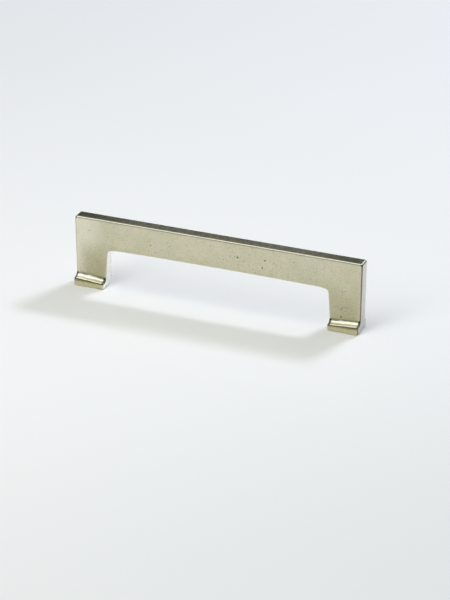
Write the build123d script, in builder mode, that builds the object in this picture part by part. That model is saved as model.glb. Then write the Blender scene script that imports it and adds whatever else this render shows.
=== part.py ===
import os
from math import cos, radians, sin, tan

from build123d import *

# A bridge pull handle cast in one piece, in millimetres.
# X runs along the bar, Y through its thickness with the front face towards -Y, and Z away
# from the door. The origin lies on the mounting plane, midway between the two screws.

# Overall form
hole_spacing = 128.0      # centre to centre of the screw holes
end_margin = 7.4          # screw centre to the outer end of the foot
projection = 34.6         # mounting plane to the top of the bar
thickness = 6.5           # front face to back face of the bar and legs

# Bar
bar_depth = 15.0          # top of the bar to where its arched underside springs
arch_rise = 0.3           # rise of the underside by mid-span
shoulder_length = 6.5     # stretch beside a leg where the underside turns down
shoulder_drop = 0.9       # how far it turns down there

# Legs, which narrow towards the mounting plane
foot_width = 15.2
inner_draft = 3.2         # degrees, on the side that faces the fingers
outer_draft = 0.6         # degrees, on the outer end
inner_bow = 0.12          # hollow of the inner side
inner_corner_radius = 1.3
outer_corner_radius = 1.0

# Feet, which step out from the legs through a cove and a ledge
front_step = 3.3          # foot in front of the leg
back_step = 1.2           # foot behind the leg
ledge_height = 3.8        # mounting plane to the ledge, over the screw
ledge_tilt = 4.1          # degrees, climbing towards the outer end
front_land = 0.5          # flat left on the ledge between its cove and its softened edge
back_land = 0.1

# Softened edges of the casting
edge_round = 0.6
sole_round = 0.4

# Blind screw holes, tapped M4 from the sole
tap_drill = 3.3           # bore left for the thread
bore_depth = 14.0         # full bore, from the sole
drill_point = 118.0       # degrees
lead_in = 4.2             # mouth of the countersink, just over the thread
lead_in_angle = 90.0      # degrees

overrun = 10.0            # how far the section is drawn past the metal
sharp_turn = 15.0         # degrees, above which an edge counts as sharp

# Sizes that follow
screw_x = hole_spacing / 2
foot_end = screw_x + end_margin
top_end = foot_end + projection * tan(radians(outer_draft))
foot_inner = foot_end - foot_width
spring_height = projection - bar_depth
corner_height = spring_height - shoulder_drop
corner_x = foot_inner - corner_height * tan(radians(inner_draft))
face = thickness / 2
front_reach = face + front_step
back_reach = face + back_step
front_cove_radius = front_step - front_land - edge_round
back_cove_radius = back_step - back_land - edge_round
tap_radius = tap_drill / 2
point_height = tap_radius / tan(radians(drill_point / 2))


def is_sharp(edge, part):
    # True off the plane between the halves, where two faces meet at an angle
    if edge.center().X < edge_round / 10:
        return False
    left, right = [side for side in part.faces() if edge in side.edges()]
    middle = edge @ 0.5
    return left.normal_at(middle).get_angle(right.normal_at(middle)) > sharp_turn


with BuildPart() as handle:
    # Right half of the bridge outline, as deep as the foot
    with BuildSketch(Plane.XZ.offset(-back_reach)):
        with BuildLine():
            crown = (0, spring_height + arch_rise)
            arch = TangentArc(crown, (corner_x - shoulder_length, spring_height), tangent=(1, 0))
            shoulder = TangentArc(arch @ 1, (corner_x, corner_height), tangent=arch % 1)
            inner_side = SagittaArc(shoulder @ 1, (foot_inner, 0), inner_bow)
            Polyline(inner_side @ 1, (foot_end, 0), (top_end, projection), (0, projection), crown)
        make_face()
    extrude(amount=front_reach + back_reach)
    corners = handle.edges().filter_by(Axis.Y)
    fillet(corners.sort_by_distance((top_end, 0, projection))[0], outer_corner_radius)
    fillet(corners.sort_by_distance((corner_x, 0, corner_height))[0], inner_corner_radius)

    # Section of leg and foot, run along the bar on an axis that climbs with the ledge
    tilt = radians(ledge_tilt)
    along = (cos(tilt), 0, sin(tilt))
    with BuildSketch(Plane((screw_x, 0, 0), x_dir=(0, 1, 0), z_dir=along)):
        with BuildLine():
            front_cove = RadiusArc(
                (-face, ledge_height + front_cove_radius),
                (-face - front_cove_radius, ledge_height),
                front_cove_radius,
            )
            back_cove = RadiusArc(
                (face + back_cove_radius, ledge_height),
                (face, ledge_height + back_cove_radius),
                back_cove_radius,
            )
            Polyline(
                front_cove @ 1,
                (-front_reach, ledge_height),
                (-front_reach, -overrun),
                (back_reach, -overrun),
                (back_reach, ledge_height),
                back_cove @ 0,
            )
            roof = projection + overrun
            Polyline(back_cove @ 1, (face, roof), (-face, roof), front_cove @ 0)
        make_face()
    extrude(amount=screw_x + overrun, both=True, mode=Mode.INTERSECT)

    # Softened edges
    sharp_edges = handle.edges().filter_by(lambda edge: is_sharp(edge, handle.part))
    sole = handle.faces().sort_by(Axis.Z)[0]
    fillet(sharp_edges - sole.edges(), edge_round)
    sole = handle.faces().sort_by(Axis.Z)[0]
    fillet(sole.edges(), sole_round)

    # Screw hole, with a lead-in at its mouth and a drilled point at its bottom
    with Locations(Plane((screw_x, 0, 0), z_dir=(0, 0, -1))):
        CounterSinkHole(tap_radius, lead_in / 2, bore_depth, lead_in_angle)
    with Locations((screw_x, 0, bore_depth)):
        Cone(
            tap_radius,
            0,
            point_height,
            align=(Align.CENTER, Align.CENTER, Align.MIN),
            mode=Mode.SUBTRACT,
        )

    # The left half
    mirror(about=Plane.YZ)

handle.part.label = "handle"
os.makedirs("parts", exist_ok=True)
export_step(handle.part, "parts/handle.step")
print("handle", round(handle.part.volume), "mm3", handle.part.bounding_box().size)
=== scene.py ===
# A cast bridge pull handle: one bar on two legs, each leg ending in a stepped foot.
import math

import bmesh
import bpy
import numpy as np
from mathutils import Matrix, Quaternion, Vector


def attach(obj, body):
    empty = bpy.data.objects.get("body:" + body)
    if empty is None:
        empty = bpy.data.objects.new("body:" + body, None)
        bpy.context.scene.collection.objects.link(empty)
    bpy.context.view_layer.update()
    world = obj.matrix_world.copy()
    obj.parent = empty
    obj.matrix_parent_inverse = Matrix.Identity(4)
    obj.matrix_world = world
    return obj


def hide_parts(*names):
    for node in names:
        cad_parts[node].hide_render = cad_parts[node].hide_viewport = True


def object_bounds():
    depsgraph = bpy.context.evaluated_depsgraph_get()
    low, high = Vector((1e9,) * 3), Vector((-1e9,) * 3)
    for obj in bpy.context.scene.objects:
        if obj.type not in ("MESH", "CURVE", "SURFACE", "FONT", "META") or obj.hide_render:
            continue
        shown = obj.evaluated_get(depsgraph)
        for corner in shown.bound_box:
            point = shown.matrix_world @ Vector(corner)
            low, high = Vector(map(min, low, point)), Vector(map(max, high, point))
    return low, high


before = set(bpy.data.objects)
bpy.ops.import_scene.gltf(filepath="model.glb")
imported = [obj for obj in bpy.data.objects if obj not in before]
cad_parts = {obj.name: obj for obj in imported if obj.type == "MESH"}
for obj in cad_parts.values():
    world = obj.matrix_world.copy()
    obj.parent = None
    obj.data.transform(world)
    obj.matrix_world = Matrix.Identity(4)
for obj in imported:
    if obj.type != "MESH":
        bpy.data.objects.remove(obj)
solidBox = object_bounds()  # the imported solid's own box
scene = bpy.context.scene
scene.view_settings.view_transform = "Standard"
mm = 0.001


def feed(tree, socket, value):
    if isinstance(value, bpy.types.NodeSocket):
        tree.links.new(value, socket)
    else:
        socket.default_value = value


# Adds a node, sets its options and fills its inputs with values or links.
def addNode(tree, kind, inputs=None, **options):
    node = tree.nodes.new(kind)
    for name, value in options.items():
        setattr(node, name, value)
    for name, value in (inputs or {}).items():
        feed(tree, node.inputs[name], value)
    return node


def maths(tree, operation, first, second=0.0, third=0.0, clamp=False):
    inputs = {0: first, 1: second, 2: third}
    return addNode(tree, "ShaderNodeMath", inputs, operation=operation, use_clamp=clamp).outputs[0]


def vectorMaths(tree, operation, first, second=(0.0, 0.0, 0.0), scale=1.0):
    inputs = {0: first, 3: scale} if operation == "SCALE" else {0: first, 1: second}
    outputs = addNode(tree, "ShaderNodeVectorMath", inputs, operation=operation).outputs
    return outputs["Value"] if operation in ("DOT_PRODUCT", "LENGTH", "DISTANCE") else outputs["Vector"]


def separate(tree, vector):
    return addNode(tree, "ShaderNodeSeparateXYZ", {"Vector": vector}).outputs


def combine(tree, x, y, z):
    return addNode(tree, "ShaderNodeCombineXYZ", {"X": x, "Y": y, "Z": z}).outputs[0]


def inMillimetres(tree, place):
    return vectorMaths(tree, "SCALE", place, scale=1 / mm)


# Maps a value from one range to another, with eased ends.
def ramp(tree, value, low, high, toLow=0.0, toHigh=1.0):
    inputs = {"Value": value, "From Min": low, "From Max": high, "To Min": toLow, "To Max": toHigh}
    return addNode(tree, "ShaderNodeMapRange", inputs, interpolation_type="SMOOTHSTEP").outputs["Result"]


def noise(tree, where, scale, detail=2.0, roughness=0.5):
    inputs = {"Vector": where, "Scale": scale, "Detail": detail, "Roughness": roughness}
    return addNode(tree, "ShaderNodeTexNoise", inputs).outputs[0]


def blend(tree, amount, first, second):
    node = addNode(tree, "ShaderNodeMix", data_type="RGBA")
    for socket, value in ((0, amount), (6, first), (7, second)):
        feed(tree, node.inputs[socket], value)
    return node.outputs[2]


# Where every one of several masks holds.
def both(tree, first, *others):
    for other in others:
        first = maths(tree, "MULTIPLY", first, other)
    return first


# Lays a colour over a tone where a mask holds, and no more strongly than its share.
def lay(tree, tone, colour, mask, share=1.0):
    return blend(tree, maths(tree, "MULTIPLY", mask, share, clamp=True), tone, colour)


def newMaterial(name):
    material = bpy.data.materials.new(name)
    material.use_nodes = True
    material.node_tree.nodes.clear()
    return material, material.node_tree


# The way to a place that is so many degrees round from the front and above the floor.
def directionTo(azimuth, elevation):
    turn = math.radians(azimuth)
    lift = math.radians(elevation)
    return Vector((math.sin(turn) * math.cos(lift), -math.cos(turn) * math.cos(lift), math.sin(lift)))


cameraValues = {
    "azimuth": 22.1426,  # degrees round from the front
    "elevation": 25.8867,  # degrees above the floor
    "roll": 0.06,
    "distance": 1.2991,
    "lookAt": (0.003281, -0.000195, 0.003012),
    "lens": 167.16,
    "sensor": 36,
    "clip": (0.05, 30),
}


def placeCamera(values):
    back = directionTo(values["azimuth"], values["elevation"])
    camera = bpy.data.objects.new("camera", bpy.data.cameras.new("camera"))
    camera.data.lens = values["lens"]
    camera.data.sensor_width = values["sensor"]
    camera.data.clip_start, camera.data.clip_end = values["clip"]
    camera.location = Vector(values["lookAt"]) + back * values["distance"]
    camera.rotation_mode = "QUATERNION"
    roll = Quaternion((0, 0, 1), math.radians(values["roll"]))
    camera.rotation_quaternion = (-back).to_track_quat("-Z", "Y") @ roll
    scene.collection.objects.link(camera)
    scene.camera = camera


placeCamera(cameraValues)
print("camera placed")


roomValues = {
    "seenTint": (0.90, 0.925, 0.945, 1),  # what the camera sees beyond the floor
    "tint": (0.97, 1.0, 1.03, 1),
    "low": 0.028,  # the dim room near the horizon
    "high": 0.535,  # the pale ceiling
    "ceilingFrom": 38.0,  # degrees above the floor where the ceiling starts
    "ceilingFull": 50.0,
    "glow": 0.36,  # light spread round the rear lamp
    "glowTowards": (0.45, 0.80, 0.40),
    "glowTightness": 4.0,
    "frontFill": 0.20,  # the lit wall in front of the handle
    "frontBand": (0.25, 0.75),  # how squarely forward it starts and is full
    "panel": 1.2,  # the broad white panel that the metal mirrors from overhead
    "panelTowards": (-0.34, -0.06, 0.94),
    "panelInner": 36.0,  # degrees from its middle to where it starts to fade
    "panelOuter": 52.0,
}


def makeRoom(values):
    world = bpy.data.worlds.new("room")
    scene.world = world
    world.use_nodes = True
    tree = world.node_tree
    tree.nodes.clear()
    towards = addNode(tree, "ShaderNodeTexCoord").outputs["Generated"]
    towards = vectorMaths(tree, "NORMALIZE", towards)
    low, high = (math.sin(math.radians(values[name])) for name in ("ceilingFrom", "ceilingFull"))
    ceiling = ramp(tree, separate(tree, towards)["Z"], low, high, values["low"], values["high"])
    glow = vectorMaths(tree, "DOT_PRODUCT", towards, Vector(values["glowTowards"]).normalized())
    glow = maths(tree, "POWER", maths(tree, "MAXIMUM", glow, 0.0), values["glowTightness"])
    strength = maths(tree, "MULTIPLY_ADD", glow, values["glow"], ceiling)
    frontWall = vectorMaths(tree, "DOT_PRODUCT", towards, (0.0, -1.0, 0.0))
    frontWall = ramp(tree, frontWall, *values["frontBand"], 0.0, values["frontFill"])
    strength = maths(tree, "MAXIMUM", strength, frontWall)
    paths = addNode(tree, "ShaderNodeLightPath").outputs
    inner, outer = (math.cos(math.radians(values[name])) for name in ("panelInner", "panelOuter"))
    panel = vectorMaths(tree, "DOT_PRODUCT", towards, Vector(values["panelTowards"]).normalized())
    panel = both(tree, ramp(tree, panel, outer, inner, 0.0, values["panel"]), paths["Is Glossy Ray"])
    strength = maths(tree, "ADD", strength, panel)
    lighting = addNode(tree, "ShaderNodeBackground", {"Color": values["tint"], "Strength": strength})
    seen = addNode(tree, "ShaderNodeBackground", {"Color": values["seenTint"], "Strength": 1.0})
    shown = {0: paths["Is Camera Ray"], 1: lighting.outputs[0], 2: seen.outputs[0]}
    mixed = addNode(tree, "ShaderNodeMixShader", shown)
    addNode(tree, "ShaderNodeOutputWorld", {"Surface": mixed.outputs[0]})


lampValues = {
    "rearKey": {  # throws the main shadow to the front
        "azimuth": 159.8,
        "elevation": 41.5,
        "distance": 1.7,
        "size": (0.38, 0.18),
        "power": 10.9,
        "tint": (0.925, 0.955, 1.11),
        "mirrored": True,
    },
    "topSoftbox": {  # the broad light over the front
        "azimuth": -27.0,
        "elevation": 60.0,
        "distance": 0.95,
        "size": (0.42, 1.4),
        "power": 5.3,
        "tint": (1.06, 1.05, 0.92),
        "mirrored": False,  # the room's panel stands for it in the metal
    },
}


def placeLamp(name, values):
    light = bpy.data.lights.new(name, "AREA")
    light.shape = "RECTANGLE"
    light.size, light.size_y = values["size"]
    light.energy = values["power"]
    light.color = values["tint"]
    lamp = bpy.data.objects.new(name, light)
    away = directionTo(values["azimuth"], values["elevation"])
    lamp.location = away * values["distance"]
    lamp.rotation_euler = away.to_track_quat("Z", "Y").to_euler()
    lamp.visible_camera = False
    lamp.visible_glossy = values["mirrored"]
    scene.collection.objects.link(lamp)


makeRoom(roomValues)
for lampName, lampSettings in lampValues.items():
    placeLamp(lampName, lampSettings)
print("room and lamps made")


floorValues = {
    "halfWidth": 9.0,
    "colour": (0.945, 0.955, 0.965, 1),
    "greyed": (0.835, 0.850, 0.862, 1),  # painted shade: the board darkens a little towards the front right
    "greyTowards": (0.6, -0.9, 0.0),
    "greyBand": (0.0, 0.28),  # about this many metres that way from the handle
    "sheenIndex": 1.25,  # refractive index of the gloss
    "sheenMost": 0.14,  # its greatest share, at a low angle
    "sheenRoughness": 0.06,
    "evenBand": (0.34, 0.85),  # over this reach the floor evens out to the room's tone
}


def makeFloor(values, farTint):
    half = values["halfWidth"]
    mesh = bpy.data.meshes.new("floor")
    corners = [(-half, -half, 0), (half, -half, 0), (half, half, 0), (-half, half, 0)]
    mesh.from_pydata(corners, [], [(0, 1, 2, 3)])
    material, tree = newMaterial("whiteBoard")
    where = addNode(tree, "ShaderNodeTexCoord").outputs["Object"]
    # painted shade, darker towards the front right
    forward = vectorMaths(tree, "DOT_PRODUCT", where, values["greyTowards"])
    tone = blend(tree, ramp(tree, forward, *values["greyBand"]), values["colour"], values["greyed"])
    board = addNode(tree, "ShaderNodeBsdfDiffuse", {"Color": tone}).outputs[0]
    shine = addNode(tree, "ShaderNodeBsdfGlossy", {"Roughness": values["sheenRoughness"]}).outputs[0]
    sheen = addNode(tree, "ShaderNodeFresnel", {"IOR": values["sheenIndex"]}).outputs[0]
    sheen = maths(tree, "MINIMUM", sheen, values["sheenMost"])
    near = addNode(tree, "ShaderNodeMixShader", {0: sheen, 1: board, 2: shine}).outputs[0]
    far = ramp(tree, vectorMaths(tree, "LENGTH", where), *values["evenBand"])
    paths = addNode(tree, "ShaderNodeLightPath").outputs
    seen = maths(tree, "ADD", paths["Is Camera Ray"], paths["Is Glossy Ray"], clamp=True)
    paper = addNode(tree, "ShaderNodeEmission", {"Color": farTint, "Strength": 1.0}).outputs[0]
    mixed = addNode(tree, "ShaderNodeMixShader", {0: both(tree, far, seen), 1: near, 2: paper})
    addNode(tree, "ShaderNodeOutputMaterial", {"Surface": mixed.outputs[0]})
    mesh.materials.append(material)
    floor = bpy.data.objects.new("floor", mesh)
    scene.collection.objects.link(floor)


makeFloor(floorValues, roomValues["seenTint"])
print("floor laid")


# Colours of the cast skin.
skinTones = {
    "warm": (0.67, 0.615, 0.45, 1),
    "green": (0.61, 0.585, 0.405, 1),
    "grey": (0.62, 0.60, 0.475, 1),
    "stain": (0.30, 0.25, 0.15, 1),  # specks
    "worn": (0.70, 0.67, 0.52, 1),  # proud edges
    "patinaAndShade": (0.44, 0.415, 0.19, 1),  # patina in hollows, and painted shade on the lower legs
    "paleReflection": (0.79, 0.755, 0.60, 1),  # painted reflection on the left leg's outer stretch
    "ledge": (0.86, 0.83, 0.68, 1),  # painted highlight in the hollow of each foot
    "reflectionStreak": (0.55, 0.53, 0.455, 1),  # a painted darker band along that highlight
    "footFront": (0.68, 0.635, 0.375, 1),
    "endReflection": (0.635, 0.615, 0.60, 1),  # painted reflection: the ends of the handle, greyer than the face
    "whiteReflection": (0.97, 0.96, 0.91, 1),  # painted reflection of the white board, inside the legs and under the bar
    "darkReflection": (0.20, 0.19, 0.12, 1),  # painted dark reflection along edges
    "blackReflection": (0.05, 0.045, 0.03, 1),  # painted darkest reflection on the lips, ledge ends and top front corners
}

# In all the tables of the skin, a pair says where a change starts and where it is full. Places are in mm,
# and tilts are parts of the surface's own direction, from 0 to 1.
grainValues = {
    "cloudSize": 9.0,
    "cloudBand": (0.40, 0.60),
    "mottleSize": 2.2,
    "mottleBand": (0.42, 0.62),
    "mottleShare": 0.6,
    "grainSize": 0.45,
    "wornShare": 0.35,
    "hollowShare": 0.7,
}


# What the tones are worked out from: place, direction, noise at three sizes, and how proud the skin stands.
def readSkin(tree, values):
    coordinates = addNode(tree, "ShaderNodeTexCoord").outputs
    where = inMillimetres(tree, coordinates["Object"])
    place = separate(tree, where)
    facing = separate(tree, coordinates["Normal"])
    outward = maths(tree, "MULTIPLY", facing["X"], place["X"])
    return {
        "where": where,
        "east": place["X"],
        "depth": place["Y"],
        "height": place["Z"],
        "up": facing["Z"],
        "frontal": maths(tree, "ABSOLUTE", facing["Y"]),
        "sideways": maths(tree, "ABSOLUTE", facing["X"]),
        "inward": maths(tree, "LESS_THAN", outward, 0.0),
        "cloud": noise(tree, where, 1 / values["cloudSize"], 3.0, 0.55),
        "mottle": noise(tree, where, 1 / values["mottleSize"], 3.0, 0.6),
        "grain": noise(tree, where, 1 / values["grainSize"], 2.0, 0.6),
        "wear": addNode(tree, "ShaderNodeAttribute", attribute_name="edgeWear").outputs["Fac"],
        "hollow": addNode(tree, "ShaderNodeAttribute", attribute_name="hollow").outputs["Fac"],
    }


def castTone(tree, skin, values):
    cloudy = ramp(tree, skin["cloud"], *values["cloudBand"])
    tone = blend(tree, cloudy, skinTones["green"], skinTones["warm"])
    mottled = ramp(tree, skin["mottle"], *values["mottleBand"])
    return lay(tree, tone, skinTones["grey"], mottled, values["mottleShare"])


def toneWear(tree, skin, tone, values):
    tone = lay(tree, tone, skinTones["worn"], skin["wear"], values["wornShare"])
    return lay(tree, tone, skinTones["patinaAndShade"], skin["hollow"], values["hollowShare"])


speckValues = {
    "share": 0.9,
    "spacing": 1.15,
    "rim": (0.26, 0.08),  # in spacings from a speck's middle
    "driftSize": 14.0,
    "middle": 22.0,  # where along the handle they gather most
    "reach": (62.0, 8.0),
    "gather": 0.22,
    "plenty": 1.3,
    "scarcity": -0.42,
    "tilt": (0.9, 0.98),  # only on what faces squarely to the front or back
}


# Fine specks, which gather in drifts a little right of the middle.
def speckMask(tree, skin, values):
    drift = noise(tree, skin["where"], 1 / values["driftSize"], 2.0)
    away = maths(tree, "ABSOLUTE", maths(tree, "SUBTRACT", skin["east"], values["middle"]))
    density = maths(tree, "MULTIPLY_ADD", ramp(tree, away, *values["reach"]), values["gather"], drift)
    density = maths(tree, "MULTIPLY_ADD", density, values["plenty"], values["scarcity"])
    spots = {"Vector": skin["where"], "Scale": 1 / values["spacing"], "Randomness": 1.0}
    cells = addNode(tree, "ShaderNodeTexVoronoi", spots).outputs
    chance = addNode(tree, "ShaderNodeSeparateColor", {"Color": cells["Color"]}).outputs[0]
    chosen = maths(tree, "LESS_THAN", chance, density)
    dots = ramp(tree, cells["Distance"], *values["rim"])
    return both(tree, dots, chosen, ramp(tree, skin["frontal"], *values["tilt"]))


legValues = {
    "legShadeShare": 0.46,
    "legShadeHeight": (30.0, 11.0),
    "raggedness": 8.0,
    "tilt": (0.6, 0.95),
    "aboveFoot": (3.5, 7.5),
    "fromLeftEdge": (-71.0, -60.0),
    "rightward": (20.0, 58.0),  # the painted shade thins out to the right
    "rightShare": 0.55,
    "paleAcross": (-55.0, -68.0),
    "paleHeight": (13.0, 25.0),
    "paleShare": 0.8,
    "rimAcross": (-65.0, -70.5),
    "rimShare": 0.9,
}


# Painted shade deepens down the faces of the legs, and a painted reflection pales the left leg to its outer
# edge.
def toneLegs(tree, skin, tone, values):
    height = maths(tree, "MULTIPLY_ADD", skin["cloud"], values["raggedness"], skin["height"])
    # painted shade, deepest low on the faces of the legs
    deep = both(
        tree,
        ramp(tree, height, *values["legShadeHeight"]),
        ramp(tree, skin["frontal"], *values["tilt"]),
        ramp(tree, skin["height"], *values["aboveFoot"]),
        ramp(tree, skin["east"], *values["fromLeftEdge"]),
        ramp(tree, skin["east"], *values["rightward"], 1.0, values["rightShare"]),
    )
    tone = lay(tree, tone, skinTones["patinaAndShade"], deep, values["legShadeShare"])
    # painted reflection, paling the left leg to its outer edge
    rise = ramp(tree, skin["height"], *values["paleHeight"], 0.0, values["paleShare"])
    paleReflection = both(tree, ramp(tree, skin["east"], *values["paleAcross"]), rise)
    rim = ramp(tree, skin["east"], *values["rimAcross"], 0.0, values["rimShare"])
    paleReflection = maths(tree, "MAXIMUM", paleReflection, rim)
    return lay(tree, tone, skinTones["paleReflection"], both(tree, paleReflection, skin["frontal"]))


footValues = {
    "belowLeg": (9.0, 8.0),
    "ledgeTilt": (0.3, 0.7),
    "ledgeShare": 0.9,
    "streakAt": -4.9,
    "streakHalf": (0.55, 0.2),
    "streakWander": 1.8,
    "streakStretch": (0.3, 0.8, 0.8),
    "frontTilt": (0.6, 0.95),
    "frontHeight": (5.0, 4.2),
    "frontShare": 0.75,
    "shadeHeight": (2.4, 3.5),  # painted dark reflection up to the lip
    "shadeWander": 0.8,
    "shadeShare": 0.75,
    "lipFront": (0.62, 0.82),
    "lipTilt": (0.10, 0.28),
    "lipDepth": (-5.0, -5.5),
    "lipShare": 0.85,
    "innerEnd": (57.8, 57.1),  # the painted dark reflection on each ledge runs from here to its end
    "outerEnd": (70.0, 70.6),
    "endWander": 1.6,
    "endTilt": (0.12, 0.35),
    "endShare": 0.9,
}


# The ledges of the feet carry a painted highlight with a painted darker streak, over a painted dark
# reflection on the lip and a warm front painted darker up to the lip.
def toneFeet(tree, skin, tone, values):
    # painted highlight on the ledges
    onFoot = ramp(tree, skin["height"], *values["belowLeg"])
    ledge = both(tree, ramp(tree, skin["up"], *values["ledgeTilt"]), onFoot)
    tone = lay(tree, tone, skinTones["ledge"], ledge, values["ledgeShare"])
    # a painted darker band along the ledge highlight
    drawn = vectorMaths(tree, "MULTIPLY", skin["where"], values["streakStretch"])
    wander = maths(tree, "SUBTRACT", noise(tree, drawn, 1.0, 2.0), 0.5)
    middle = maths(tree, "MULTIPLY_ADD", wander, values["streakWander"], skin["depth"])
    away = maths(tree, "ABSOLUTE", maths(tree, "SUBTRACT", middle, values["streakAt"]))
    reflectionStreak = both(tree, ramp(tree, away, *values["streakHalf"]), ledge)
    tone = lay(tree, tone, skinTones["reflectionStreak"], reflectionStreak)
    front = ramp(tree, skin["frontal"], *values["frontTilt"])
    front = both(tree, front, ramp(tree, skin["height"], *values["frontHeight"]))
    tone = lay(tree, tone, skinTones["footFront"], front, values["frontShare"])
    # painted dark reflection on the foot's front, up to the lip
    shade = maths(tree, "MULTIPLY_ADD", skin["mottle"], values["shadeWander"], skin["height"])
    shade = both(tree, front, ramp(tree, shade, *values["shadeHeight"]))
    tone = lay(tree, tone, skinTones["darkReflection"], shade, values["shadeShare"])
    # painted dark reflection on the lip
    lip = both(
        tree,
        ramp(tree, skin["frontal"], *values["lipFront"]),
        ramp(tree, skin["up"], *values["lipTilt"]),
        ramp(tree, skin["depth"], *values["lipDepth"]),
        onFoot,
    )
    return lay(tree, tone, skinTones["blackReflection"], lip, values["lipShare"])


# Paints a dark reflection over both ends of each ledge.
def darkenLedgeEnds(tree, skin, tone, values):
    wander = maths(tree, "SUBTRACT", skin["mottle"], 0.5)
    across = maths(tree, "ABSOLUTE", skin["east"])
    across = maths(tree, "MULTIPLY_ADD", wander, values["endWander"], across)
    inner = ramp(tree, across, *values["innerEnd"])
    outer = ramp(tree, across, *values["outerEnd"])
    upward = ramp(tree, skin["up"], *values["endTilt"])
    onFoot = ramp(tree, skin["height"], *values["belowLeg"])
    ends = both(tree, maths(tree, "MAXIMUM", inner, outer), upward, onFoot)
    return lay(tree, tone, skinTones["blackReflection"], ends, values["endShare"])


topValues = {
    "tilt": (0.85, 0.97),
    "height": (28.0, 31.0),
    "edge": (1.9, 2.6),
    "edgeShare": 0.5,
    "left": (-38.0, -70.0),
    "leftShare": 0.65,
    "right": (40.0, 68.0),
    "rightShare": 0.6,
    "corner": (71.45, -3.05, 34.0),
    "cornerReach": (0.95, 0.4),
    "cornerShare": 0.95,
    "rimTilt": (0.15, 0.4),
    "rimShare": 0.55,
}


# Painted dark reflection on the top of the bar: a dark line down each long edge, and darker towards both
# ends.
def toneTop(tree, skin, tone, values):
    onTop = ramp(tree, skin["up"], *values["tilt"])
    onTop = both(tree, onTop, ramp(tree, skin["height"], *values["height"]))
    away = maths(tree, "ABSOLUTE", skin["depth"])
    paintedDark = ramp(tree, away, *values["edge"], 0.0, values["edgeShare"])
    for side in ("left", "right"):
        sideways = ramp(tree, skin["east"], *values[side], 0.0, values[side + "Share"])
        paintedDark = maths(tree, "MAXIMUM", paintedDark, sideways)
    return lay(tree, tone, skinTones["darkReflection"], both(tree, paintedDark, onTop))


# Painted dark reflection: the bar's front top corners are dark, and so is the rim of each end.
def toneCorners(tree, skin, tone, values):
    folded = vectorMaths(tree, "ABSOLUTE", skin["where"])
    folded = vectorMaths(tree, "MULTIPLY", folded, (1.0, -1.0, 1.0))
    away = vectorMaths(tree, "DISTANCE", folded, values["corner"])
    inFront = maths(tree, "LESS_THAN", skin["depth"], 0.0)
    corner = both(tree, ramp(tree, away, *values["cornerReach"]), inFront)
    tone = lay(tree, tone, skinTones["blackReflection"], corner, values["cornerShare"])
    rim = ramp(tree, both(tree, skin["sideways"], skin["up"]), *values["rimTilt"])
    rim = both(tree, rim, ramp(tree, skin["height"], *values["height"]))
    return lay(tree, tone, skinTones["darkReflection"], rim, values["rimShare"])


sideValues = {
    "tilt": (0.8, 0.97),
    "endReflectionShare": 0.8,
    "underTilt": (-0.7, -0.95),
    "darkEdgeBand": (0.14, 0.34),  # across the round between a face and a side
    "darkEdgeAcross": (-40.0, 40.0),
    "darkEdgeLeft": 0.55,
    "darkEdgeRight": 0.95,
    "darkEdgeInside": 0.8,  # how much of it is lost inside the legs
}


# Painted reflections: the ends are greyer than the face, the inner sides of the legs and the underside of
# the bar are near white, and outer upright edges are dark.
def toneSides(tree, skin, tone, values):
    # painted reflection, greying the ends
    side = ramp(tree, skin["sideways"], *values["tilt"])
    tone = lay(tree, tone, skinTones["endReflection"], side, values["endReflectionShare"])
    # painted reflection of the white board inside the legs and under the bar
    under = ramp(tree, skin["up"], *values["underTilt"])
    whiteReflection = maths(tree, "MAXIMUM", both(tree, side, skin["inward"]), under)
    tone = lay(tree, tone, skinTones["whiteReflection"], whiteReflection)
    # painted dark reflection down the outer upright edges
    edge = ramp(tree, both(tree, skin["frontal"], skin["sideways"]), *values["darkEdgeBand"])
    across = ramp(tree, skin["east"], *values["darkEdgeAcross"], values["darkEdgeLeft"], values["darkEdgeRight"])
    inside = maths(tree, "MULTIPLY_ADD", skin["inward"], -values["darkEdgeInside"], 1.0)
    return lay(tree, tone, skinTones["darkReflection"], both(tree, edge, across, inside))


finishValues = {
    "roughness": 0.27,
    "mottleSpread": 0.16,
    "grainSpread": 0.08,
    "edgeRise": 0.08,
    "hollowRise": 0.12,
    "grainDepth": 0.006,
    "grainTilt": (0.2, 0.95),
    "grainLeast": 0.05,  # on the smoother top and ends
    "speckDepth": 0.03,
}


def skinRoughness(tree, skin, values):
    rough = values["roughness"]
    for name, spread in (("mottle", "mottleSpread"), ("grain", "grainSpread")):
        varied = maths(tree, "SUBTRACT", skin[name], 0.5)
        rough = maths(tree, "MULTIPLY_ADD", varied, values[spread], rough)
    for name, rise in (("wear", "edgeRise"), ("hollow", "hollowRise")):
        rough = maths(tree, "MULTIPLY_ADD", skin[name], values[rise], rough)
    return rough


def skinRelief(tree, skin, speck, values):
    strength = ramp(tree, skin["frontal"], *values["grainTilt"], values["grainLeast"], 1.0)
    relief = both(tree, maths(tree, "MULTIPLY", skin["grain"], values["grainDepth"] * mm), strength)
    relief = maths(tree, "MULTIPLY_ADD", speck, -values["speckDepth"] * mm, relief)
    return addNode(tree, "ShaderNodeBump", {"Strength": 1.0, "Distance": 1.0, "Height": relief}).outputs[0]


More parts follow.
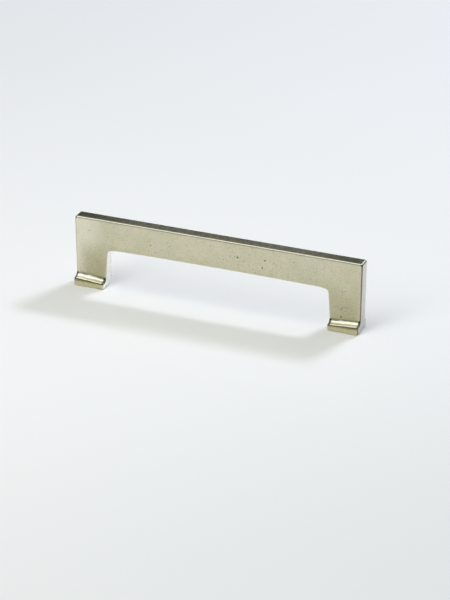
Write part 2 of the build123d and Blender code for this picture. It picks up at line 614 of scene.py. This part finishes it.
def nickelBronze():
    material, tree = newMaterial("nickelBronze")
    skin = readSkin(tree, grainValues)
    speck = speckMask(tree, skin, speckValues)
    tone = castTone(tree, skin, grainValues)
    tone = lay(tree, tone, skinTones["stain"], speck, speckValues["share"])
    tone = toneWear(tree, skin, tone, grainValues)
    tone = toneLegs(tree, skin, tone, legValues)
    tone = toneFeet(tree, skin, tone, footValues)
    tone = toneTop(tree, skin, tone, topValues)
    tone = toneSides(tree, skin, tone, sideValues)
    tone = darkenLedgeEnds(tree, skin, tone, footValues)
    tone = toneCorners(tree, skin, tone, topValues)
    finish = {
        "Base Color": tone,
        "Metallic": 1.0,
        "Roughness": skinRoughness(tree, skin, finishValues),
        "Normal": skinRelief(tree, skin, speck, finishValues),
    }
    shader = addNode(tree, "ShaderNodeBsdfPrincipled", finish)
    addNode(tree, "ShaderNodeOutputMaterial", {"Surface": shader.outputs[0]})
    return material


innerValues = {
    "pitOxide": {"colour": (0.30, 0.27, 0.19, 1), "roughness": 0.5, "flecks": 3.0},
    "freshCutBronze": {"colour": (0.72, 0.60, 0.38, 1), "roughness": 0.22, "flecks": 2.0},
    "fleckTone": 0.6,  # of the colour
    "fleckBand": (0.35, 0.65),
    "fleckSpread": 0.15,
}


# A plainer metal for what lies inside pits and tapped holes.
def innerMetal(name, values):
    metal = values[name]
    material, tree = newMaterial(name)
    where = inMillimetres(tree, addNode(tree, "ShaderNodeTexCoord").outputs["Object"])
    fleck = noise(tree, where, metal["flecks"], 3.0)
    darker = tuple(part * values["fleckTone"] for part in metal["colour"][:3]) + (1,)
    tone = blend(tree, ramp(tree, fleck, *values["fleckBand"]), metal["colour"], darker)
    rough = maths(tree, "MULTIPLY_ADD", fleck, values["fleckSpread"], metal["roughness"])
    finish = {"Base Color": tone, "Metallic": 1.0, "Roughness": rough}
    shader = addNode(tree, "ShaderNodeBsdfPrincipled", finish)
    addNode(tree, "ShaderNodeOutputMaterial", {"Surface": shader.outputs[0]})
    return material


castSkin = nickelBronze()
pitSkin = innerMetal("pitOxide", innerValues)
tapSkin = innerMetal("freshCutBronze", innerValues)
print("metals mixed")


def newTree(name, sockets):
    tree = bpy.data.node_groups.new(name, "GeometryNodeTree")
    tree.interface.new_socket(name="Geometry", in_out="INPUT", socket_type="NodeSocketGeometry")
    for label, kind in sockets.items():
        tree.interface.new_socket(name=label, in_out="INPUT", socket_type=kind)
    tree.interface.new_socket(name="Geometry", in_out="OUTPUT", socket_type="NodeSocketGeometry")
    return tree, addNode(tree, "NodeGroupInput").outputs


def closeTree(tree, geometry, material):
    solid = addNode(tree, "GeometryNodeRealizeInstances", {"Geometry": geometry}).outputs[0]
    coated = addNode(tree, "GeometryNodeSetMaterial", {"Geometry": solid, "Material": material})
    addNode(tree, "NodeGroupOutput", {"Geometry": coated.outputs[0]})


def bakeModifiers(piece):
    ready = piece.evaluated_get(bpy.context.evaluated_depsgraph_get())
    mesh = bpy.data.meshes.new_from_object(ready)
    piece.modifiers.clear()
    return mesh


# Runs a tree on an object and gives the result as a plain mesh.
def runTree(piece, tree, values):
    modifier = piece.modifiers.new("tree", "NODES")
    modifier.node_group = tree
    for item in tree.interface.items_tree:
        if item.item_type == "SOCKET" and item.in_out == "INPUT" and item.name in values:
            modifier[item.identifier] = values[item.name]
    return bakeModifiers(piece)


# Leaves a cutter's mesh with one material all over.
def coat(mesh, material):
    mesh.materials.clear()
    mesh.materials.append(material)
    return mesh


def placePiece(name, mesh):
    piece = bpy.data.objects.new(name, mesh)
    scene.collection.objects.link(piece)
    return piece


def dropPiece(piece):
    mesh = piece.data
    bpy.data.objects.remove(piece)
    bpy.data.meshes.remove(mesh)


def cutAway(piece, cutter):
    cut = piece.modifiers.new("cut", "BOOLEAN")
    cut.operation = "DIFFERENCE"
    cut.solver = "MANIFOLD"
    cut.material_mode = "TRANSFER"
    cut.object = cutter
    mesh = bakeModifiers(piece)
    old = piece.data
    piece.data = mesh
    bpy.data.meshes.remove(old)
    dropPiece(cutter)


castValues = {
    "mergeWithin": 1e-6,  # m, points this close are one
    "voxel": 0.335,  # mm, how finely the casting is meshed
    "easePasses": 6,
    "easeShare": 0.5,
    "waveSize": 17.0,  # mm, slow unevenness of the hand-dressed faces
    "waveDepth": 0.07,
    "rippleSize": 4.2,
    "rippleDepth": 0.022,
    "ledgeDepth": 0.30,  # how far the feet's ledges wander
    "ledgeSize": 3.0,
    "ledgeBelow": 9.5,  # height above the sole where the wandering ends
    "ledgeEase": 2.0,
    "ledgeAbove": (1.2, 2.6),
    "ledgeTilt": (0.12, 0.6),
    "crease": 42.0,  # degrees; sharper folds than this shade as edges
    "wearReach": 13,  # smoothing passes that find edges and hollows
    "wearGain": 7.0,
}


# The solid's own mesh, merged, meshed evenly and eased over its small rounds.
def meshCasting(values):
    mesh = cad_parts["handle"].data.copy()
    mesh.materials.clear()
    work = bmesh.new()
    work.from_mesh(mesh)
    bmesh.ops.remove_doubles(work, verts=work.verts, dist=values["mergeWithin"])
    work.to_mesh(mesh)
    work.free()
    blank = placePiece("castingBlank", mesh)
    even = blank.modifiers.new("even", "REMESH")
    even.mode = "VOXEL"
    even.voxel_size = values["voxel"] * mm
    even.use_smooth_shade = True
    ease = blank.modifiers.new("ease", "SMOOTH")
    ease.factor = values["easeShare"]
    ease.iterations = values["easePasses"]
    casting = bakeModifiers(blank)
    dropPiece(blank)
    return casting


# Slow waves over every face, and stronger wandering on the ledges of the feet.
def weatherTree(values):
    sizes = ("waveSize", "waveDepth", "rippleSize", "rippleDepth", "ledgeSize", "ledgeDepth", "ledgeBelow")
    tree, given = newTree("handDressing", {name: "NodeSocketFloat" for name in sizes})
    facing = addNode(tree, "GeometryNodeInputNormal").outputs[0]
    where = inMillimetres(tree, addNode(tree, "GeometryNodeInputPosition").outputs[0])
    layers = []
    for size, amount in (("waveSize", "waveDepth"), ("rippleSize", "rippleDepth")):
        spots = vectorMaths(tree, "DIVIDE", where, combine(tree, given[size], given[size], given[size]))
        layers.append(maths(tree, "MULTIPLY", noise(tree, spots, 1.0, 1.0), given[amount]))
    depth = maths(tree, "ADD", *layers)
    # only what looks upwards on the feet wanders, so the fronts stay flat
    height = separate(tree, where)["Z"]
    easedFrom = maths(tree, "SUBTRACT", given["ledgeBelow"], values["ledgeEase"])
    low = ramp(tree, height, easedFrom, given["ledgeBelow"], 1.0, 0.0)
    raised = ramp(tree, height, *values["ledgeAbove"])
    upward = ramp(tree, separate(tree, facing)["Z"], *values["ledgeTilt"])
    longer = maths(tree, "MULTIPLY", given["ledgeSize"], 2.0)
    stretch = vectorMaths(tree, "DIVIDE", where, combine(tree, given["ledgeSize"], longer, longer))
    wander = maths(tree, "SUBTRACT", noise(tree, stretch, 1.0, 2.0), 0.5)
    wander = maths(tree, "MULTIPLY", wander, maths(tree, "MULTIPLY", given["ledgeDepth"], 2.0))
    depth = maths(tree, "MULTIPLY_ADD", wander, both(tree, low, raised, upward), depth)
    shift = vectorMaths(tree, "SCALE", facing, scale=maths(tree, "MULTIPLY", depth, -mm))
    moved = addNode(tree, "GeometryNodeSetPosition", {"Geometry": given["Geometry"], "Offset": shift})
    closeTree(tree, moved.outputs[0], castSkin)
    return tree


pitValues = {
    "count": 5200.0,  # pits per square decimetre before thinning
    "apart": 1.5,
    "smallest": 0.10,
    "largest": 0.26,
    "seed": 11,
    "skew": 3.0,  # mostly small, a few large
    "flatter": (0.85, 0.7),  # a bead's width and height beside its length
    "beadVertices": 42,  # in an icosphere of two subdivisions
    "driftSize": 11.0,
    "driftBand": (0.40, 0.66),
    "driftLeast": 0.08,
    "middle": 24.0,  # where along the handle they gather most
    "reach": (60.0, 6.0),
    "reachLeast": 0.12,
    "aboveFeet": (8.0, 12.0),
    "topTilt": (0.9, 0.6),  # few on the polished top
    "topLeast": 0.25,
}


def pitDensity(tree, values):
    where = inMillimetres(tree, addNode(tree, "GeometryNodeInputPosition").outputs[0])
    parts = separate(tree, where)
    upward = separate(tree, addNode(tree, "GeometryNodeInputNormal").outputs[0])["Z"]
    drift = noise(tree, where, 1 / values["driftSize"], 2.0)
    drift = ramp(tree, drift, *values["driftBand"], values["driftLeast"], 1.0)
    away = maths(tree, "ABSOLUTE", maths(tree, "SUBTRACT", parts["X"], values["middle"]))
    centre = ramp(tree, away, *values["reach"], values["reachLeast"], 1.0)
    clear = ramp(tree, parts["Z"], *values["aboveFeet"])
    clear = both(tree, clear, ramp(tree, upward, *values["topTilt"], values["topLeast"], 1.0))
    return both(tree, drift, centre, clear)


# Small flattened beads set into the surface, which are then cut out as casting pits.
def pitTree(values):
    sockets = {name: "NodeSocketFloat" for name in ("count", "apart", "smallest", "largest")}
    sockets["seed"] = "NodeSocketInt"
    tree, given = newTree("castingPits", sockets)
    places = {
        "Mesh": given["Geometry"],
        "Distance Min": maths(tree, "MULTIPLY", given["apart"], mm),
        "Density Max": maths(tree, "MULTIPLY", given["count"], 100.0),  # to a square metre
        "Density Factor": pitDensity(tree, values),
        "Seed": given["seed"],
    }
    scatter = addNode(tree, "GeometryNodeDistributePointsOnFaces", places, distribute_method="POISSON")
    scatter = scatter.outputs
    bead = addNode(tree, "GeometryNodeMeshIcoSphere", {"Radius": mm, "Subdivisions": 2}).outputs["Mesh"]
    chance = addNode(tree, "FunctionNodeRandomValue", {"Seed": given["seed"]}, data_type="FLOAT").outputs[1]
    skewed = maths(tree, "POWER", chance, values["skew"])
    span = maths(tree, "SUBTRACT", given["largest"], given["smallest"])
    size = maths(tree, "MULTIPLY_ADD", skewed, span, given["smallest"])
    width, height = (maths(tree, "MULTIPLY", size, share) for share in values["flatter"])
    copies = {
        "Points": scatter["Points"],
        "Instance": bead,
        "Rotation": scatter["Rotation"],
        "Scale": combine(tree, size, width, height),
    }
    beads = addNode(tree, "GeometryNodeInstanceOnPoints", copies)
    closeTree(tree, beads.outputs[0], pitSkin)
    return tree


# A few larger pits and one curved nick, placed one by one: x, depth of centre, z and radius in mm.
markValues = {
    "pits": [
        (10.7, -3.25, 27.5, 0.46),
        (24.3, -3.25, 28.2, 0.40),
        (23.0, -3.25, 24.4, 0.40),
        (61.85, -3.30, 6.5, 0.44),
        (-33.0, -3.25, 26.0, 0.30),
        (38.5, -3.25, 30.0, 0.28),
    ],
    "nickFrom": 150.0,  # degrees round the nick's own circle
    "nickTo": 74.0,
    "nickCentre": (64.2, 8.4),
    "nickRound": 3.1,
    "nickDepth": -3.37,
    "nickRadius": 0.34,
    "nickTaper": 0.25,  # how much thinner it is at both ends
    "nickBeads": 15,
}


def handMarks(values):
    spots = [pit + (pitSkin,) for pit in values["pits"]]
    for step in range(values["nickBeads"]):
        share = step / (values["nickBeads"] - 1)
        angle = math.radians(values["nickFrom"] + (values["nickTo"] - values["nickFrom"]) * share)
        x = values["nickCentre"][0] + values["nickRound"] * math.cos(angle)
        z = values["nickCentre"][1] + values["nickRound"] * math.sin(angle)
        thinner = values["nickTaper"] * (1 - math.sin(math.pi * share))
        spots.append((x, values["nickDepth"], z, values["nickRadius"] * (1 - thinner), castSkin))
    beads = []
    for x, y, z, radius, skin in spots:
        work = bmesh.new()
        place = Matrix.Translation(Vector((x, y, z)) * mm)
        bmesh.ops.create_icosphere(work, subdivisions=2, radius=radius * mm, matrix=place)
        mesh = bpy.data.meshes.new("bead")
        work.to_mesh(mesh)
        work.free()
        beads.append(placePiece("bead", coat(mesh, skin)))
    return beads


tapValues = {
    "major": 2.0,  # mm, radii of an M4 thread
    "minor": 1.70,
    "pitch": 0.7,
    "depth": 14.0,
    "runOut": 1.8,  # the thread stops this far short of the depth
    "fade": 0.6,
    "tip": 15.05,
    "point": 118.0,  # degrees across the drill's point
    "tipRadius": 0.02,
    "mouth": 2.12,
    "proud": 1.0,  # how far the cutter stands out of the sole
    "flankSlope": 1.4,
    "flankFlat": -0.2,
    "sides": 28,
    "rows": 140,
    "spacing": 128.0,
}


# A tap's shape: a helical thread with a drill point and an open mouth. The thread turns left-handed as it is
# written; a right-handed one, which an M4 hole needs, subtracts the angle from the turns.
def tapTree(values):
    sockets = {name: "NodeSocketFloat" for name in ("major", "minor", "pitch", "depth", "tip", "mouth")}
    sockets.update({"sides": "NodeSocketInt", "rows": "NodeSocketInt"})
    tree, given = newTree("tap", sockets)
    full = maths(tree, "MULTIPLY", maths(tree, "ADD", given["tip"], values["proud"]), mm)
    sizes = {"Vertices": given["sides"], "Side Segments": given["rows"], "Radius": mm, "Depth": full}
    bar = addNode(tree, "GeometryNodeMeshCylinder", sizes, fill_type="NGON").outputs["Mesh"]
    parts = separate(tree, addNode(tree, "GeometryNodeInputPosition").outputs[0])
    height = maths(tree, "DIVIDE", maths(tree, "MULTIPLY_ADD", full, 0.5, parts["Z"]), mm)
    height = maths(tree, "SUBTRACT", height, values["proud"])  # zero at the sole, in millimetres
    angle = maths(tree, "DIVIDE", maths(tree, "ARCTAN2", parts["Y"], parts["X"]), 2 * math.pi)
    turns = maths(tree, "ADD", maths(tree, "DIVIDE", height, given["pitch"]), angle)
    flank = maths(tree, "MULTIPLY_ADD", maths(tree, "FRACT", turns), 2.0, -1.0)
    flank = maths(tree, "ABSOLUTE", flank)
    flank = maths(tree, "MULTIPLY_ADD", flank, values["flankSlope"], values["flankFlat"], clamp=True)
    threadEnd = maths(tree, "SUBTRACT", given["depth"], values["runOut"])
    fade = ramp(tree, height, threadEnd, maths(tree, "ADD", threadEnd, values["fade"]), 1.0, 0.0)
    rise = maths(tree, "SUBTRACT", given["major"], given["minor"])
    radius = maths(tree, "MULTIPLY_ADD", maths(tree, "MULTIPLY", flank, rise), fade, given["minor"])
    radius = maths(tree, "MAXIMUM", radius, maths(tree, "SUBTRACT", given["mouth"], height))
    slope = math.tan(math.radians(values["point"] / 2))
    cone = maths(tree, "MULTIPLY", maths(tree, "SUBTRACT", given["tip"], height), slope)
    radius = maths(tree, "MAXIMUM", maths(tree, "MINIMUM", radius, cone), values["tipRadius"])
    outwards = vectorMaths(tree, "NORMALIZE", combine(tree, parts["X"], parts["Y"], 0.0))
    outwards = vectorMaths(tree, "SCALE", outwards, scale=maths(tree, "MULTIPLY", radius, mm))
    upright = combine(tree, 0.0, 0.0, maths(tree, "MULTIPLY", height, mm))
    moves = {"Geometry": bar, "Position": vectorMaths(tree, "ADD", outwards, upright)}
    shaped = addNode(tree, "GeometryNodeSetPosition", moves)
    closeTree(tree, shaped.outputs[0], tapSkin)
    return tree


def tapHole(casting, x):
    blank = placePiece("tapBlank", bpy.data.meshes.new("tapBlank"))
    tap = placePiece("tap", coat(runTree(blank, tapTree(tapValues), tapValues), tapSkin))
    dropPiece(blank)
    for vertex in tap.data.vertices:
        vertex.co.x += x * mm
    cutAway(casting, tap)


# Marks how far each point stands proud of, or lies below, its smoothed surroundings.
def wearTree():
    tree, given = newTree("wear", {"wearReach": "NodeSocketInt", "wearGain": "NodeSocketFloat"})
    place = addNode(tree, "GeometryNodeInputPosition").outputs[0]
    facing = addNode(tree, "GeometryNodeInputNormal").outputs[0]
    blur = addNode(tree, "GeometryNodeBlurAttribute", data_type="FLOAT_VECTOR")
    inputs = {socket.name: socket for socket in blur.inputs if socket.enabled}
    tree.links.new(place, inputs["Value"])
    tree.links.new(given["wearReach"], inputs["Iterations"])
    soft = [socket for socket in blur.outputs if socket.enabled][0]
    proud = vectorMaths(tree, "DOT_PRODUCT", vectorMaths(tree, "SUBTRACT", place, soft), facing)
    proud = maths(tree, "MULTIPLY", maths(tree, "MULTIPLY", proud, 1 / mm), given["wearGain"])
    geometry = given["Geometry"]
    for name, sign in (("edgeWear", 1.0), ("hollow", -1.0)):
        amount = maths(tree, "MULTIPLY", proud, sign, clamp=True)
        record = {"Geometry": geometry, "Name": name, "Value": amount}
        stored = addNode(tree, "GeometryNodeStoreNamedAttribute", record, data_type="FLOAT")
        stored.domain = "POINT"
        geometry = stored.outputs[0]
    # each face keeps its own metal, so no material is set here
    solid = addNode(tree, "GeometryNodeRealizeInstances", {"Geometry": geometry}).outputs[0]
    addNode(tree, "NodeGroupOutput", {"Geometry": solid})
    return tree


def trianglesOf(mesh):
    return sum(len(face.vertices) - 2 for face in mesh.polygons)


def makeHandle():
    casting = placePiece("bridgeHandle", meshCasting(castValues))
    print("casting meshed:", trianglesOf(casting.data), "triangles")
    casting.data = runTree(casting, weatherTree(castValues), castValues)
    print("faces dressed")
    pits = placePiece("pitCutters", coat(runTree(casting, pitTree(pitValues), pitValues), pitSkin))
    print("pits:", len(pits.data.vertices) // pitValues["beadVertices"])
    cutAway(casting, pits)
    for bead in handMarks(markValues):
        cutAway(casting, bead)
    for side in (-1, 1):
        tapHole(casting, side * tapValues["spacing"] / 2)
    print("holes tapped:", trianglesOf(casting.data), "triangles")
    casting.data = runTree(casting, wearTree(), castValues)
    for face in casting.data.polygons:
        face.use_smooth = True
    casting.data.set_sharp_from_angle(angle=math.radians(castValues["crease"]))
    return casting


# Keeps the skin inside the solid's box.
def trimToBox(mesh, low, high):
    count = len(mesh.vertices)
    flat = np.empty(count * 3, np.float32)
    mesh.vertices.foreach_get("co", flat)
    places = np.clip(flat.reshape(count, 3), np.array(low, np.float32), np.array(high, np.float32))
    mesh.vertices.foreach_set("co", places.ravel())
    mesh.update()


handle = makeHandle()
trimToBox(handle.data, *solidBox)
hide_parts("handle")
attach(handle, "root")
print("handle placed")
